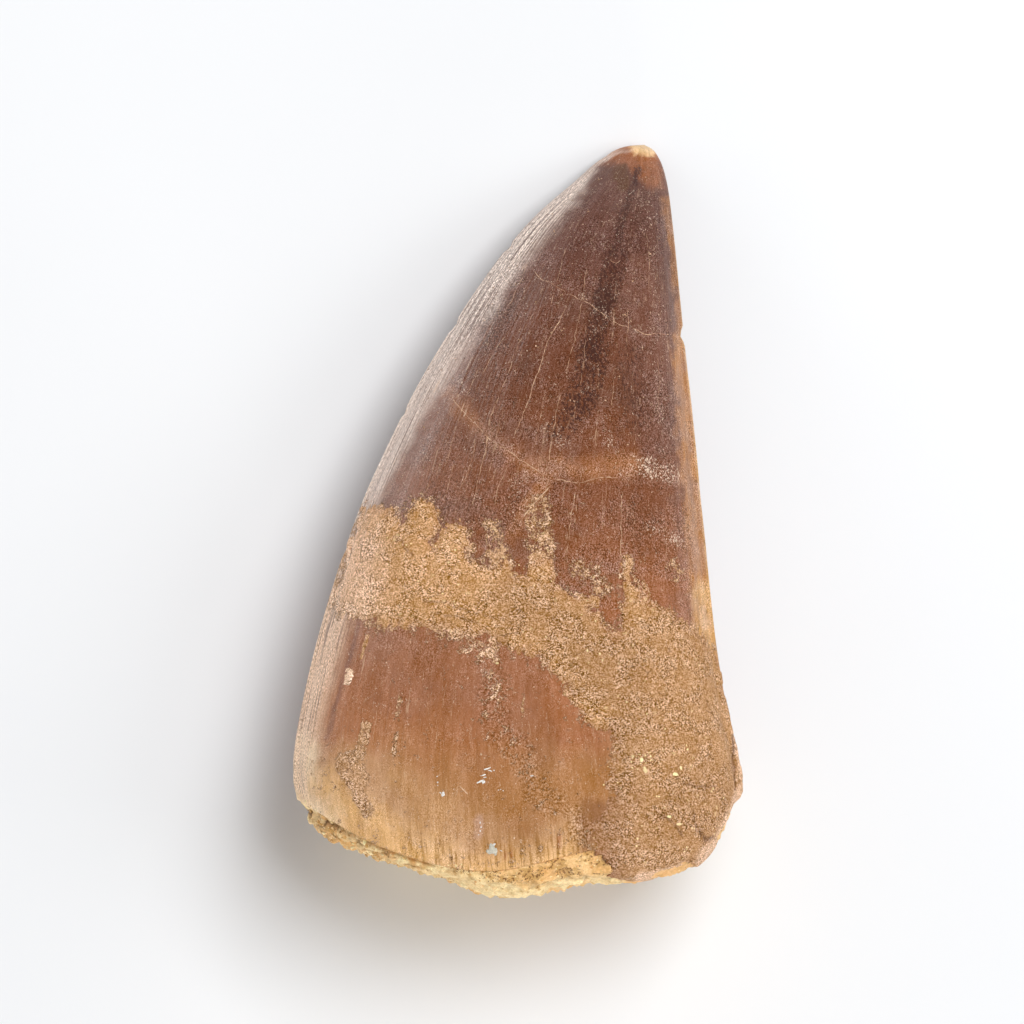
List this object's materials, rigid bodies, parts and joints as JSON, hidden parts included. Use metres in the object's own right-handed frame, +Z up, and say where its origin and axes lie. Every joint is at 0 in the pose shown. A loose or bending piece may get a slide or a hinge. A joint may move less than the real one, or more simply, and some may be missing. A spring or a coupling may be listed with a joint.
{
  "type": "fossil mosasaur tooth",
  "caption": "Fossil mosasaur tooth crown lying on its side, with cutting ridges, a broken root end and a crust of hardened sand on its face.",
  "frame": {"origin": "centre of the footprint on the surface that the tooth lies on", "axes": "+Y from the broken root to the tip, +Z up through the face that shows"},
  "size_m": [0.0358, 0.06, 0.0232],
  "materials": {
    "enamel": "polished",
    "hard_sand": "rough"
  },
  "bodies": {
    "root": {"tooth": "enamel", "matrix_crust": "hard_sand"}
  },
  "joints": []
}
